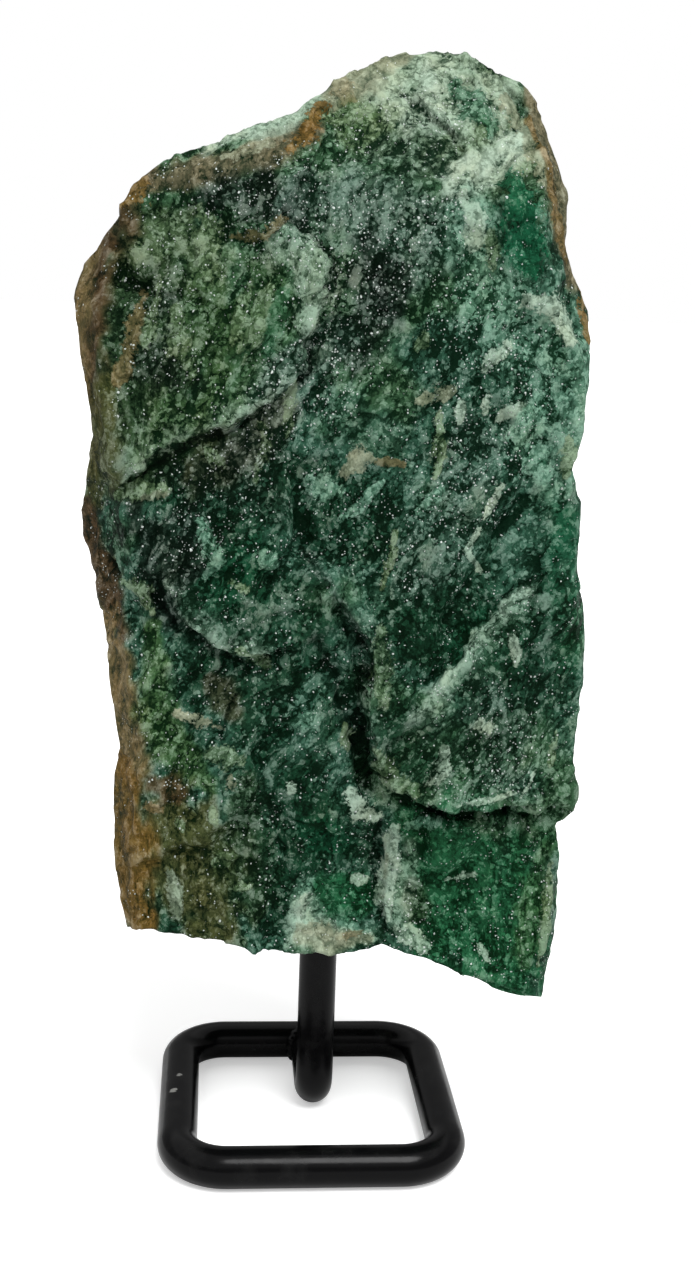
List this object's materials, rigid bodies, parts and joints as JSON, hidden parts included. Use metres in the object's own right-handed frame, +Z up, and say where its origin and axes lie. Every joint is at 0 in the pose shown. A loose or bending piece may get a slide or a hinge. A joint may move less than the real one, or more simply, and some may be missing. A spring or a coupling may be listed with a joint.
{
  "type": "rough green aventurine on a metal stand",
  "caption": "Rough upright block of green aventurine with broken ledges and worn crest, held on a bent rod that stands on a square ring base.",
  "frame": {"origin": "on the table, under the middle of the whole object", "axes": "+Z up, -Y towards the stone's display face, +X to the right as seen from the front"},
  "size_m": [0.097, 0.0633, 0.215],
  "materials": {
    "aventurine": "matte",
    "painted_steel": "gloss"
  },
  "bodies": {
    "root": {"stone": "aventurine", "post": "painted_steel", "base_ring": "painted_steel"}
  },
  "joints": []
}
